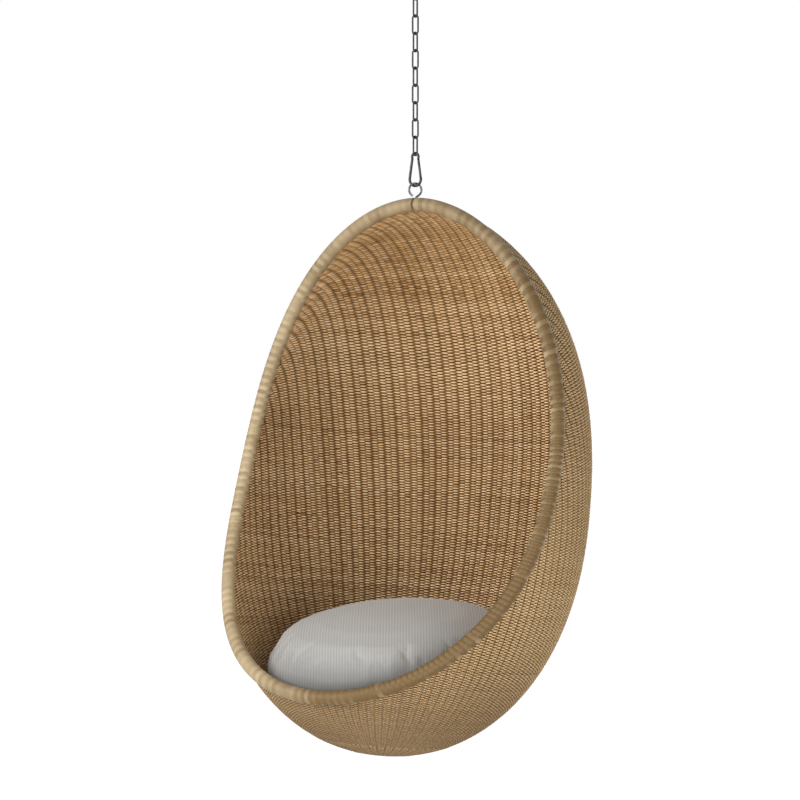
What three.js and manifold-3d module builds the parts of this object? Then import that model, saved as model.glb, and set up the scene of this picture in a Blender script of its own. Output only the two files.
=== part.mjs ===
import * as THREE from 'three';
import { mergeVertices } from 'three/addons/utils/BufferGeometryUtils.js';
import Module from 'manifold-3d';

// Hanging pod chair: an egg of woven cane that leans back on its chain, millimetres, +Z up.
// It faces -Y. The origin is on top of the ceiling plate, and the chain hangs straight below it.

// Clearances and overruns
const seatGap = 0.3;
const pivotGap = 0.05;
const cutOverrun = 2;

// Egg-shaped shell: middle surface of the weave, in a frame that stands on its lower pole
const shellRadius = 415;
const shellHeight = 1221;
const bellyHeight = 578;
const wallThickness = 11;
const leanBack = THREE.MathUtils.degToRad(7.6);
const profileShares = {
  lower: { heightPower: 2.2, radiusPower: 2.12 },
  upper: { heightPower: 2.29, radiusPower: 1.85 },
};

// Side view of the opening: how far forward of the shell's axis the rim lies, from bottom to top
const rimSetbackShares = [-0.943, 0.072, 0.010, -0.077];

// Rim: a bent pole inside a wound skin of peel, with a slit for the hanging eye
const hoopDiameter = 25;
const rimDiameter = 31;
const rimSides = 8;
const bindingSlit = 7;
const bindingEndShares = [0, 0.13, 0.32, 0.5, 0.68, 0.87, 1];
const bindingSteps = 9;

// Canes that stiffen the shell, and the woven panels between them
const caneDiameter = 8;
const caneSides = 6;
const caneCount = 12;
const columnsPerPanel = 4;
const shellRows = 14;
const hubDiameter = 60;
const panelRimGap = 1.3;
const bendStartShare = 0.42;
const bendPower = 2;
const bendEnd = THREE.MathUtils.degToRad(105);

// Seat cushion
const cushionDiameter = 585;
const cushionCrown = 105;
const cushionBelly = 118;
const cushionEdge = 14;
const cushionPitch = THREE.MathUtils.degToRad(7.5);
const cushionSetbackShare = 0.129;
const cushionSides = 32;
const cushionShares = [0, 0.3, 0.55, 0.76, 0.9, 0.975, 1];
const crownPower = 2.4;

// Chain
const linkWire = 4;
const linkLength = 46.6;
const linkWidth = 18.5;
const linkCount = 10;
const linkSides = 6;
const linkBowSteps = 6;

// Snap hook
const snapWire = 6;
const snapLength = 79;
const snapWidth = 36;
const snapNeckWidth = 23;
const snapSides = 8;
const snapBowSteps = 10;
const gateWire = 5.4;
const gateTopShare = 0.6;
const shoulderAngle = THREE.MathUtils.degToRad(-22);
const pinDiameter = 2;
const pinSides = 16;
const tongueThickness = 2.2;
const tongueWidth = 4.4;

// Hanging eye through the rim
const eyeWire = 5;
const eyeDiameter = 34;
const eyeTurn = THREE.MathUtils.degToRad(54);
const eyeStart = THREE.MathUtils.degToRad(-58);
const eyeSweep = THREE.MathUtils.degToRad(302);
const eyeSteps = 20;
const nutWidth = 10;
const nutHeight = 4;
const washerDiameter = 12;
const washerThickness = 1;

// Ceiling plate and hook
const plateDiameter = 74;
const plateThickness = 4;
const plateSkin = 1.4;
const screwHole = 5.4;
const screwCircle = 52;
const screwCount = 4;
const plateSides = 32;
const hookWire = 7;
const hookBend = 34;
const hookDrop = 12;
const hookOpening = THREE.MathUtils.degToRad(70);
const hookSteps = 14;

// Fineness of the curves that the solids are laid along
const rimSamples = 300;
const stakeSamples = 64;
const halvings = 40;

const wasm = await Module();
wasm.setup();

const finish = (color, roughness, metalness) => ({ color, roughness, metalness });
const weaveFinish = finish(0xb08a56, 0.7, 0);
const caneFinish = finish(0x7d5a30, 0.65, 0);
const peelFinish = finish(0xc9b88e, 0.55, 0);
const poleFinish = finish(0xa98552, 0.7, 0);
const clothFinish = finish(0xc4c2c4, 0.95, 0);
const steelFinish = finish(0x4a4a4c, 0.4, 1);
const brightFinish = finish(0xb9bbbe, 0.2, 1);

function named(name, geometry, look) {
  const mesh = new THREE.Mesh(geometry, new THREE.MeshStandardMaterial(look));
  mesh.name = name;
  return mesh;
}

function vector(x, y, z) {
  return new THREE.Vector3(x, y, z);
}

function signedVolume(points, faces) {
  const cross = new THREE.Vector3();
  return faces.reduce((sum, [a, b, c]) => sum + points[a].dot(cross.crossVectors(points[b], points[c])), 0);
}

// Closed solid from shared points and triangles, turned so that its faces point out
function solidGeometry(points, faces) {
  const outward = signedVolume(points, faces) > 0 ? faces : faces.map(([a, b, c]) => [a, c, b]);
  const geometry = new THREE.BufferGeometry();
  const places = points.flatMap((p) => p.toArray());
  geometry.setAttribute('position', new THREE.Float32BufferAttribute(places, 3));
  geometry.setIndex(outward.flat());
  return geometry;
}

// Triangles of a convex end, and of the end of a slab whose loop runs out along one side and back
const fanCap = (count) => Array.from({ length: count - 2 }, (_, i) => [0, i + 1, i + 2]);
function slabCap(count) {
  const faces = [];
  for (let i = 0; i < count / 2 - 1; i += 1) {
    faces.push([i, i + 1, count - 1 - i], [i + 1, count - 2 - i, count - 1 - i]);
  }
  return faces;
}

// Skin over a run of loops with the same number of points, closed on itself or capped at both ends
function loft(rings, cap = null) {
  const width = rings[0].length;
  const points = rings.flat();
  const faces = [];
  const last = cap ? rings.length - 1 : rings.length;
  for (let i = 0; i < last; i += 1) {
    const next = (i + 1) % rings.length;
    for (let j = 0; j < width; j += 1) {
      const side = (j + 1) % width;
      const [a, b, c, d] = [i * width + j, i * width + side, next * width + side, next * width + j];
      const short = points[a].distanceTo(points[c]) < points[b].distanceTo(points[d]);
      faces.push(...(short ? [[a, b, c], [a, c, d]] : [[a, b, d], [b, c, d]]));
    }
  }
  if (cap) {
    const end = (rings.length - 1) * width;
    cap(width).forEach(([a, b, c]) => faces.push([a, c, b], [end + a, end + b, end + c]));
  }
  return solidGeometry(points, faces);
}

// Regular loop around a point, in the plane of two unit directions
function ringAt(centre, across, up, radius, sides) {
  return Array.from({ length: sides }, (_, j) => {
    const angle = ((j + 1 / 2) / sides) * 2 * Math.PI;
    return centre.clone()
      .addScaledVector(across, radius * Math.cos(angle))
      .addScaledVector(up, radius * Math.sin(angle));
  });
}

function roundShape(radius, sides) {
  const centre = vector(0, 0, 0);
  return new THREE.Shape(ringAt(centre, vector(1, 0, 0), vector(0, 1, 0), radius, sides)
    .map((p) => new THREE.Vector2(p.x, p.y)));
}

// Round bar along a curve, with flat ends
function bar(path, diameter, sides, steps) {
  const run = { steps, bevelEnabled: false, extrudePath: path };
  return new THREE.ExtrudeGeometry(roundShape(diameter / 2, sides), run);
}

function toManifold(geometry) {
  const bare = geometry.clone();
  bare.deleteAttribute('normal');
  bare.deleteAttribute('uv');
  const merged = mergeVertices(bare);
  return new wasm.Manifold(new wasm.Mesh({
    numProp: 3,
    vertProperties: new Float32Array(merged.attributes.position.array),
    triVerts: new Uint32Array(merged.index.array),
  }));
}

function toGeometry(solid) {
  const mesh = solid.getMesh();
  const geometry = new THREE.BufferGeometry();
  geometry.setAttribute('position', new THREE.BufferAttribute(new Float32Array(mesh.vertProperties), 3));
  geometry.setIndex(new THREE.BufferAttribute(new Uint32Array(mesh.triVerts), 1));
  return geometry;
}

function joined(...parts) {
  return toGeometry(parts.map(toManifold).reduce((sum, part) => sum.add(part)));
}

function cutBy(body, ...tools) {
  const rest = tools.map(toManifold).reduce((left, tool) => left.subtract(tool), toManifold(body));
  return toGeometry(rest);
}

function rod(diameter, length, sides, axis = vector(0, 0, 1), centre = vector(0, 0, 0)) {
  const geometry = new THREE.CylinderGeometry(diameter / 2, diameter / 2, length, sides);
  const turn = new THREE.Quaternion().setFromUnitVectors(vector(0, 1, 0), axis);
  return geometry.applyQuaternion(turn).translate(centre.x, centre.y, centre.z);
}

// Shell surface. Its level is negative inside the egg, zero on it and positive outside.
function zoneOf(height) {
  return height < bellyHeight
    ? { reach: bellyHeight, ...profileShares.lower }
    : { reach: shellHeight - bellyHeight, ...profileShares.upper };
}

function levelAt(p) {
  const { reach, heightPower, radiusPower } = zoneOf(p.z);
  return (Math.hypot(p.x, p.y) / shellRadius) ** radiusPower
    + (Math.abs(p.z - bellyHeight) / reach) ** heightPower - 1;
}

function radiusAt(height) {
  const { reach, heightPower, radiusPower } = zoneOf(height);
  const room = 1 - Math.min(1, Math.abs(height - bellyHeight) / reach) ** heightPower;
  return shellRadius * room ** (1 / radiusPower);
}

function normalAt(p) {
  const { reach, heightPower, radiusPower } = zoneOf(p.z);
  const radius = Math.hypot(p.x, p.y);
  const out = (radiusPower / shellRadius) * (radius / shellRadius) ** (radiusPower - 1);
  const rise = (Math.abs(p.z - bellyHeight) / reach) ** (heightPower - 1) * (heightPower / reach);
  const share = radius > 0 ? out / radius : 0;
  return vector(p.x * share, p.y * share, Math.sign(p.z - bellyHeight) * rise).normalize();
}

// Moves a point to the shell surface, along the line from the middle of the belly
function ontoShell(p) {
  const centre = vector(0, 0, bellyHeight);
  const ray = p.clone().sub(centre);
  let [low, high] = [0, shellHeight / ray.length()];
  for (let i = 0; i < halvings; i += 1) {
    const middle = (low + high) / 2;
    if (levelAt(centre.clone().addScaledVector(ray, middle)) < 0) low = middle;
    else high = middle;
  }
  return centre.addScaledVector(ray, low);
}

// Rim: where the egg meets the curved front cut
const [setback0, setback1, setback2, setback3] = rimSetbackShares.map((share) => share * shellRadius);
const setbackCurve = new THREE.CubicBezierCurve(
  new THREE.Vector2(0, setback0),
  new THREE.Vector2(shellHeight / 3, setback1),
  new THREE.Vector2((2 * shellHeight) / 3, setback2),
  new THREE.Vector2(shellHeight, setback3),
);
const setbackAt = (height) => setbackCurve.getPoint(height / shellHeight).y;

function rimHeightBetween(inside, outside) {
  let [low, high] = [inside, outside];
  for (let i = 0; i < halvings; i += 1) {
    const middle = (low + high) / 2;
    if (radiusAt(middle) > Math.abs(setbackAt(middle))) low = middle;
    else high = middle;
  }
  return low;
}
const rimLow = rimHeightBetween(bellyHeight, 0);
const rimHigh = rimHeightBetween(bellyHeight, shellHeight);

// Right half of the rim from its top to its bottom, with the length run so far
const rimHalf = Array.from({ length: rimSamples + 1 }, (_, i) => {
  const swing = (i / rimSamples) * Math.PI;
  const height = rimLow + ((rimHigh - rimLow) * (1 + Math.cos(swing))) / 2;
  const y = setbackAt(height);
  return vector(Math.sqrt(Math.max(0, radiusAt(height) ** 2 - y * y)), y, height);
});
const rimSteps = rimHalf.map((p, i) => (i ? p.distanceTo(rimHalf[i - 1]) : 0));
let rimLengthSoFar = 0;
const rimRun = rimSteps.map((step) => {
  rimLengthSoFar += step;
  return rimLengthSoFar;
});
const rimHalfLength = rimRun[rimSamples];
const rimLoop = new THREE.CatmullRomCurve3(
  [...rimHalf.slice(0, -1), ...rimHalf.slice(1).reverse().map((p) => vector(-p.x, p.y, p.z))],
  true,
);
rimLoop.arcLengthDivisions = 2 * rimSamples;
const rimTop = rimHalf[0];

function rimPointAtRun(run) {
  const i = Math.min(rimSamples - 1, rimRun.findLastIndex((length) => length <= run));
  const share = (run - rimRun[i]) / (rimRun[i + 1] - rimRun[i]);
  return rimHalf[i].clone().lerp(rimHalf[i + 1], share);
}

const azimuthOf = (p) => Math.atan2(p.x, p.y);

// Where a stake that climbs straight from the pole meets the rim
function runAtAzimuth(azimuth) {
  const i = rimHalf.findLastIndex((p) => azimuthOf(p) < azimuth);
  const [from, to] = [azimuthOf(rimHalf[i]), azimuthOf(rimHalf[i + 1] ?? rimHalf[i])];
  const share = to > from ? (azimuth - from) / (to - from) : 0;
  return rimRun[i] + share * ((rimRun[i + 1] ?? rimRun[i]) - rimRun[i]);
}

// Stakes at the back keep their spacing and fan out over the top of the rim
const bendRun = runAtAzimuth(bendEnd);
const bendSlopeStep = bendEnd / stakeSamples;
const bendSlope = (runAtAzimuth(bendEnd + bendSlopeStep) - bendRun) / bendSlopeStep;
function rimRunOfStake(azimuth) {
  if (azimuth >= Math.PI) return rimHalfLength;
  if (azimuth >= bendEnd) return runAtAzimuth(azimuth);
  const u = azimuth / bendEnd;
  return (u ** 3 - 2 * u * u + u) * bendEnd * shellRadius
    + (3 * u * u - 2 * u ** 3) * bendRun + (u ** 3 - u * u) * bendEnd * bendSlope;
}

// Middle line of the stake that leaves the lower pole at an azimuth, measured from the back
function stakeCurve(azimuth) {
  const target = rimPointAtRun(rimRunOfStake(Math.abs(azimuth)));
  const end = vector(Math.sign(azimuth) * target.x, target.y, target.z);
  const lastSwing = Math.acos(1 - (2 * target.z) / shellHeight);
  const points = Array.from({ length: stakeSamples + 1 }, (_, i) => {
    const share = i / stakeSamples;
    const height = (shellHeight * (1 - Math.cos(share * lastSwing))) / 2;
    const radius = radiusAt(height);
    const bend = (Math.max(0, share - bendStartShare) / (1 - bendStartShare)) ** bendPower;
    const climb = vector(radius * Math.sin(azimuth), radius * Math.cos(azimuth), height);
    return ontoShell(climb.lerp(end, bend));
  });
  return new THREE.CatmullRomCurve3(points);
}

function distanceToRim(p) {
  return Math.min(...rimHalf.map((q) => Math.hypot(Math.abs(p.x) - q.x, p.y - q.y, p.z - q.z)));
}

// Place on a stake: point, outward normal, direction along the stake and sideways
function placeOn(curve, share) {
  const point = curve.getPointAt(share);
  const out = normalAt(point);
  const along = curve.getTangentAt(share);
  const side = along.clone().cross(out).normalize();
  return { point, out, along, side };
}

// Share of a stake at which it still clears the wound rim, for a strip of a given half width
function lastShare(curve, halfWidth, gap) {
  let [low, high] = [1 / 2, 1];
  for (let i = 0; i < halvings; i += 1) {
    const middle = (low + high) / 2;
    const { point, side } = placeOn(curve, middle);
    const nearest = Math.min(...[-halfWidth, 0, halfWidth]
      .map((reach) => distanceToRim(point.clone().addScaledVector(side, reach))));
    if (nearest > rimDiameter / 2 + gap) low = middle;
    else high = middle;
  }
  return low;
}

// Rows of places along a stake, from the hub to the rim
function stakeRows(azimuth, halfWidth, gap) {
  const curve = stakeCurve(azimuth);
  const first = (hubDiameter / 2 + seatGap * 2) / curve.getLength();
  const last = lastShare(curve, halfWidth, gap);
  const step = (last - first) / shellRows;
  return Array.from({ length: shellRows + 1 }, (_, i) => placeOn(curve, first + step * i));
}

const caneStep = (2 * Math.PI) / caneCount;
const paneEdge = caneDiameter / 2 + seatGap;
const caneRows = Array.from({ length: caneCount }, (_, i) => (
  stakeRows(i * caneStep - Math.PI, paneEdge, panelRimGap)));

function cane(rows) {
  const rings = rows.map(({ point, out, side }) => ringAt(point, side, out, caneDiameter / 2, caneSides));
  return loft(rings, fanCap);
}

// Woven panel between two canes, as thick as the weave
function panel(index) {
  const inner = Array.from({ length: columnsPerPanel - 1 }, (_, i) => stakeRows(
    (index + (i + 1) / columnsPerPanel) * caneStep - Math.PI,
    0,
    panelRimGap,
  ));
  const beside = (rows, sign) => rows.map((row) => ({
    ...row,
    point: row.point.clone().addScaledVector(row.side, sign * paneEdge),
  }));
  const left = caneRows[index];
  const right = caneRows[(index + 1) % caneCount];
  const gap = right[shellRows].point.clone().sub(left[shellRows].point);
  const toward = Math.sign(gap.dot(left[shellRows].side));
  const columns = [beside(left, toward), ...inner, beside(right, -toward)];
  const rings = Array.from({ length: shellRows + 1 }, (_, i) => {
    const faceAt = (sign) => columns.map((rows) => rows[i].point.clone()
      .addScaledVector(rows[i].out, (sign * wallThickness) / 2));
    return [...faceAt(1), ...faceAt(-1).reverse()];
  });
  return loft(rings, slabCap);
}

// Stations around the rim, one run for each wound stretch
const bindingRuns = bindingEndShares.slice(0, -1).map((start, i) => {
  const length = 2 * rimHalfLength;
  const end = bindingEndShares[i + 1];
  const lead = (start === 0 ? bindingSlit : seatGap) / 2 / length;
  const tail = (end === 1 ? bindingSlit : seatGap) / 2 / length;
  return Array.from({ length: bindingSteps + 1 }, (_, k) => {
    const share = start + lead + ((end - tail - start - lead) * k) / bindingSteps;
    const point = rimLoop.getPointAt(share);
    const along = rimLoop.getTangentAt(share);
    const out = normalAt(point);
    return { point, out, across: along.clone().cross(out).normalize() };
  });
});

function rimRing({ point, across, out }, diameter) {
  return ringAt(point, across, out, diameter / 2, rimSides);
}

function hoop(shank, pocket) {
  const pole = loft(bindingRuns.flat().map((station) => rimRing(station, hoopDiameter)));
  return cutBy(pole, shank, pocket);
}

function binding(run) {
  const outer = run.map((station) => rimRing(station, rimDiameter));
  const inner = run.map((station) => rimRing(station, hoopDiameter + 2 * seatGap));
  const strips = Array.from({ length: rimSides }, (_, j) => [
    ...outer.map((ring) => ring[j]),
    ...inner.map((ring) => ring[j]).reverse(),
  ]);
  return loft(strips);
}

// Round solid from a closed half profile of radius and height
function turned(profile, sides) {
  return new THREE.LatheGeometry(profile.map(([x, y]) => new THREE.Vector2(x, y)), sides)
    .rotateX(Math.PI / 2);
}

function hub() {
  const r = hubDiameter / 2;
  const half = wallThickness / 2;
  const ease = wallThickness / 4;
  const edge = [[r - ease, -half], [r, ease - half], [r, half - ease], [r - ease, half]];
  return turned([[0, -half], ...edge, [0, half]], caneCount * 2);
}

// Cushion: two crowns drawn in to a narrow edge
function cushion() {
  const radius = cushionDiameter / 2;
  const rise = (share) => (1 - share ** crownPower) ** (1 / 2);
  const top = cushionShares.map((share) => [
    share * radius,
    cushionEdge / 2 + cushionCrown * rise(share),
  ]);
  const under = cushionShares.map((share) => [
    share * radius,
    -cushionEdge / 2 - cushionBelly * rise(share),
  ]);
  return turned([...under, ...top.reverse()], cushionSides);
}

// How far one mesh can be let down before it comes within a gap of the meshes that carry it
function dropOnto(upper, lowers, gap) {
  const [solid, ...carriers] = [upper, ...lowers].map((mesh) => (
    toManifold(mesh.geometry.clone().applyMatrix4(mesh.matrixWorld))));
  let [clear, sunk] = [0, bellyHeight];
  for (let i = 0; i < halvings; i += 1) {
    const middle = (clear + sunk) / 2;
    const lowered = solid.translate(0, 0, -middle);
    if (carriers.every((carrier) => lowered.minGap(carrier, 2 * gap) >= gap)) clear = middle;
    else sunk = middle;
  }
  return clear;
}

// Chain link, lying in the XZ plane with the wire centre of its top bow at the origin
const bowRadius = (linkWidth - linkWire) / 2;
const linkReach = linkLength - linkWire;
function chainLink() {
  const stations = [];
  [[-bowRadius, 0], [bowRadius - linkReach, Math.PI]].forEach(([height, start]) => {
    for (let i = 0; i <= linkBowSteps; i += 1) {
      const angle = start + (i / linkBowSteps) * Math.PI;
      const out = vector(Math.cos(angle), 0, Math.sin(angle));
      stations.push({ out, point: vector(0, 0, height).addScaledVector(out, bowRadius) });
    }
  });
  const across = vector(0, 1, 0);
  return loft(stations.map(({ point, out }) => ringAt(point, out, across, linkWire / 2, linkSides)));
}

// Snap hook in the XZ plane, wire centre of its narrow bow at the origin, gate on the +X side
const snapReach = snapLength - snapWire;
const snapBow = (snapWidth - snapWire) / 2;
const snapNeck = (snapNeckWidth - snapWire) / 2;
const snapHigh = vector(0, 0, -snapNeck);
const snapLow = vector(0, 0, snapBow - snapReach);
const onArc = (centre, radius, angle) => centre.clone()
  .add(vector(radius * Math.cos(angle), 0, radius * Math.sin(angle)));
const shoulder = onArc(snapHigh, snapNeck, shoulderAngle);
// The nose ends where a straight gate from the shoulder touches the wide bow
const lift = shoulder.clone().sub(snapLow);
const noseAngle = Math.atan2(lift.z, lift.x) - Math.acos(snapBow / lift.length());
const noseEnd = onArc(snapLow, snapBow, noseAngle);
const gateUp = shoulder.clone().sub(noseEnd).normalize();
const gateLength = noseEnd.distanceTo(shoulder) - seatGap - gateTopShare * snapWire;
const gateFoot = noseEnd.clone().addScaledVector(gateUp, seatGap);
const pivotPlace = gateFoot.clone().addScaledVector(gateUp, gateLength - gateWire / 2);

function snapBody() {
  const across = vector(0, 1, 0);
  const arc = (centre, radius, from, to) => Array.from({ length: snapBowSteps + 1 }, (_, i) => {
    const angle = from + ((to - from) * i) / snapBowSteps;
    const out = vector(Math.cos(angle), 0, Math.sin(angle));
    return ringAt(onArc(centre, radius, angle), across, out, snapWire / 2, snapSides);
  });
  const rings = [
    ...arc(snapLow, snapBow, noseAngle, -Math.PI - noseAngle),
    ...arc(snapHigh, snapNeck, Math.PI - shoulderAngle, shoulderAngle),
  ];
  const tongueLength = shoulder.distanceTo(pivotPlace) + tongueWidth / 2;
  const tongue = new THREE.BoxGeometry(tongueWidth, tongueThickness, tongueLength + cutOverrun);
  const middle = shoulder.clone().addScaledVector(gateUp, (cutOverrun - tongueLength) / 2);
  const turn = new THREE.Quaternion().setFromUnitVectors(vector(0, 0, 1), gateUp);
  tongue.applyQuaternion(turn).translate(middle.x, middle.y, middle.z);
  const hole = rod(pinDiameter + 2 * pivotGap, snapWire, pinSides, vector(0, 1, 0), pivotPlace);
  return cutBy(joined(loft(rings, fanCap), tongue), hole);
}

function snapGate() {
  const middle = gateFoot.clone().addScaledVector(gateUp, gateLength / 2);
  const body = rod(gateWire, gateLength, snapSides, gateUp, middle);
  const slotDepth = tongueWidth + 2 * seatGap + gateWire / 2;
  const slot = new THREE.BoxGeometry(gateWire * 2, tongueThickness + 2 * seatGap, slotDepth + cutOverrun);
  const slotMiddle = gateFoot.clone().addScaledVector(gateUp, gateLength + (cutOverrun - slotDepth) / 2);
  const turn = new THREE.Quaternion().setFromUnitVectors(vector(0, 0, 1), gateUp);
  slot.applyQuaternion(turn).translate(slotMiddle.x, slotMiddle.y, slotMiddle.z);
  const hole = rod(pinDiameter + 2 * pivotGap, snapWire * 2, pinSides, vector(0, 1, 0), pivotPlace);
  return cutBy(body, slot, hole);
}

const gatePin = () => rod(pinDiameter, gateWire + seatGap, pinSides, vector(0, 1, 0), pivotPlace);

// Hanging eye: a shank through the rim and an open ring above it, ring centre on the Z axis
const eyeRadius = (eyeDiameter - eyeWire) / 2;
const eyeHeight = rimDiameter / 2 + seatGap + eyeDiameter / 2;
const shankDepth = hoopDiameter / 2 - washerThickness / 2;
function hangingEye() {
  const turn = vector(Math.cos(eyeTurn), Math.sin(eyeTurn), 0);
  const place = (across, up) => turn.clone().multiplyScalar(across).add(vector(0, 0, up));
  const ring = Array.from({ length: eyeSteps + 1 }, (_, i) => {
    const angle = eyeStart + (eyeSweep * i) / eyeSteps;
    return place(eyeRadius * Math.cos(angle), eyeHeight + eyeRadius * Math.sin(angle));
  });
  const bendHeight = eyeHeight - eyeRadius - eyeWire / 4;
  const shank = [place(0, -shankDepth), place(0, 0), place(0, bendHeight - eyeWire)];
  const bend = place(eyeWire / 2, bendHeight);
  const path = new THREE.CatmullRomCurve3([...shank, bend, ...ring], false, 'centripetal');
  return bar(path, eyeWire, snapSides, eyeSteps + eyeSteps / 2);
}

function hangingNut() {
  const shape = roundShape(nutWidth / Math.sqrt(3), 6);
  shape.holes.push(new THREE.Path(roundShape(eyeWire / 2 + seatGap, snapSides).getPoints()));
  return new THREE.ExtrudeGeometry(shape, { depth: nutHeight, bevelEnabled: false });
}

function hangingWasher() {
  const [outer, inner] = [washerDiameter / 2, eyeWire / 2 + 2 * seatGap];
  const top = washerThickness;
  return turned([[inner, 0], [outer, 0], [outer, top], [inner, top], [inner, 0]], snapSides * 2);
}

// Ceiling plate below the origin, and the hook whose shank stands in a blind pocket in its middle
function ceilingPlate() {
  const r = plateDiameter / 2;
  const low = -plateThickness;
  const edge = plateThickness / 3;
  const disc = turned([[0, low], [r - edge, low], [r, low + edge], [r, 0], [0, 0]], plateSides);
  const holes = Array.from({ length: screwCount }, (_, i) => {
    const angle = ((i + 1 / 2) / screwCount) * 2 * Math.PI;
    const centre = vector(Math.cos(angle), Math.sin(angle), 0).multiplyScalar(screwCircle / 2);
    return rod(screwHole, plateThickness * 2 + cutOverrun, snapSides, vector(0, 0, 1), centre);
  });
  const pocket = rod(
    hookWire + 2 * seatGap,
    plateThickness,
    snapSides * 2,
    vector(0, 0, 1),
    vector(0, 0, -plateSkin - plateThickness / 2),
  );
  return cutBy(disc, ...holes, pocket);
}

const hookRadius = (hookBend - hookWire) / 2;
const hookBottom = -plateThickness - hookDrop - 2 * hookRadius;
function ceilingHook() {
  const centre = vector(0, 0, hookBottom + hookRadius);
  const sweep = 2 * Math.PI - hookOpening;
  const bow = Array.from({ length: hookSteps + 1 }, (_, i) => {
    const angle = Math.PI / 2 + (sweep * i) / hookSteps;
    return centre.clone().add(vector(0, hookRadius * Math.cos(angle), hookRadius * Math.sin(angle)));
  });
  const low = -plateThickness;
  const shank = [vector(0, 0, -plateSkin - seatGap), vector(0, 0, low), vector(0, 0, low - hookDrop / 2)];
  const path = new THREE.CatmullRomCurve3([...shank, ...bow.slice(1)], false, 'centripetal');
  return bar(path, hookWire, snapSides, hookSteps + hookSteps / 2);
}

// Assembly from the ceiling down
const chair = new THREE.Group();
chair.add(named('ceiling_plate', ceilingPlate(), steelFinish));
chair.add(named('ceiling_hook', ceilingHook(), steelFinish));

const wireCross = (above, below) => (above + below) / 2 + seatGap;
let bowHeight = hookBottom + wireCross(hookWire, linkWire);
for (let i = 0; i < linkCount; i += 1) {
  const link = named(`chain_link_${String(i + 1).padStart(2, '0')}`, chainLink(), steelFinish);
  link.position.z = bowHeight;
  link.rotation.z = i % 2 ? Math.PI / 2 : 0;
  chair.add(link);
  bowHeight += wireCross(linkWire, i + 1 < linkCount ? linkWire : snapWire) - linkReach;
}

const snapHook = new THREE.Group();
snapHook.position.z = bowHeight;
snapHook.add(named('snap_hook_body', snapBody(), steelFinish));
snapHook.add(named('snap_hook_gate', snapGate(), steelFinish));
snapHook.add(named('snap_hook_pin', gatePin(), brightFinish));
chair.add(snapHook);

// The rim's top hangs below the eye, and the shell leans back around it
const rimHeight = bowHeight - snapReach + wireCross(snapWire, eyeWire) - eyeRadius - eyeHeight;
const hanging = new THREE.Group();
hanging.position.z = rimHeight;
hanging.add(named('hanging_eye', hangingEye(), brightFinish));
const nutReach = nutWidth / Math.sqrt(3);
const nutLow = -Math.sqrt(((hoopDiameter / 2) * Math.cos(Math.PI / rimSides)) ** 2 - nutReach ** 2);
const washerHeight = nutLow + nutHeight + seatGap;
const nut = named('hanging_nut', hangingNut(), brightFinish);
nut.position.z = nutLow;
hanging.add(nut);
const washer = named('hanging_washer', hangingWasher(), brightFinish);
washer.position.z = washerHeight;
hanging.add(washer);
chair.add(hanging);

const shell = new THREE.Group();
shell.rotation.x = -leanBack;
shell.position.copy(rimTop).applyEuler(shell.rotation).negate();
shell.updateMatrix();
hanging.add(shell);

// The eye's hole and the nut's pocket stand upright, so they are turned into the shell's frame
const uprightInShell = (geometry) => geometry.applyMatrix4(shell.matrix.clone().invert());
const shankHole = uprightInShell(rod(eyeWire + 2 * seatGap, hoopDiameter + rimDiameter, snapSides * 2));
const pocketTop = washerHeight + washerThickness + seatGap;
const pocketReach = pocketTop + rimDiameter;
const nutPocket = uprightInShell(rod(
  washerDiameter + 2 * seatGap,
  pocketReach,
  snapSides * 2,
  vector(0, 0, 1),
  vector(0, 0, pocketTop - pocketReach / 2),
));
shell.add(named('rim_hoop', hoop(shankHole, nutPocket), poleFinish));
const bindings = bindingRuns.map((run, i) => named(`rim_binding_${i + 1}`, binding(run), peelFinish));
bindings.forEach((mesh) => shell.add(mesh));
shell.add(named('base_hub', hub(), caneFinish));
caneRows.forEach((rows, i) => {
  shell.add(named(`shell_cane_${String(i + 1).padStart(2, '0')}`, cane(rows), caneFinish));
});
const panels = caneRows.map((_, i) => (
  named(`woven_panel_${String(i + 1).padStart(2, '0')}`, panel(i), weaveFinish)));
panels.forEach((mesh) => shell.add(mesh));

// The cushion is held at the belly, where the egg is widest, and let down until it rests on the weave
const cushionMesh = named('seat_cushion', cushion(), clothFinish);
cushionMesh.rotation.x = cushionPitch;
cushionMesh.position.set(
  0,
  shell.position.y + cushionSetbackShare * shellRadius,
  shell.position.z + bellyHeight,
);
hanging.add(cushionMesh);
chair.updateMatrixWorld(true);
cushionMesh.position.z -= dropOnto(cushionMesh, [...panels, ...bindings], seatGap);
chair.updateMatrixWorld(true);

export default chair;
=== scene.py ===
"""Hanging pod chair: a woven cane egg with a wound rim, its cushion, and the chain that carries it."""

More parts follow.
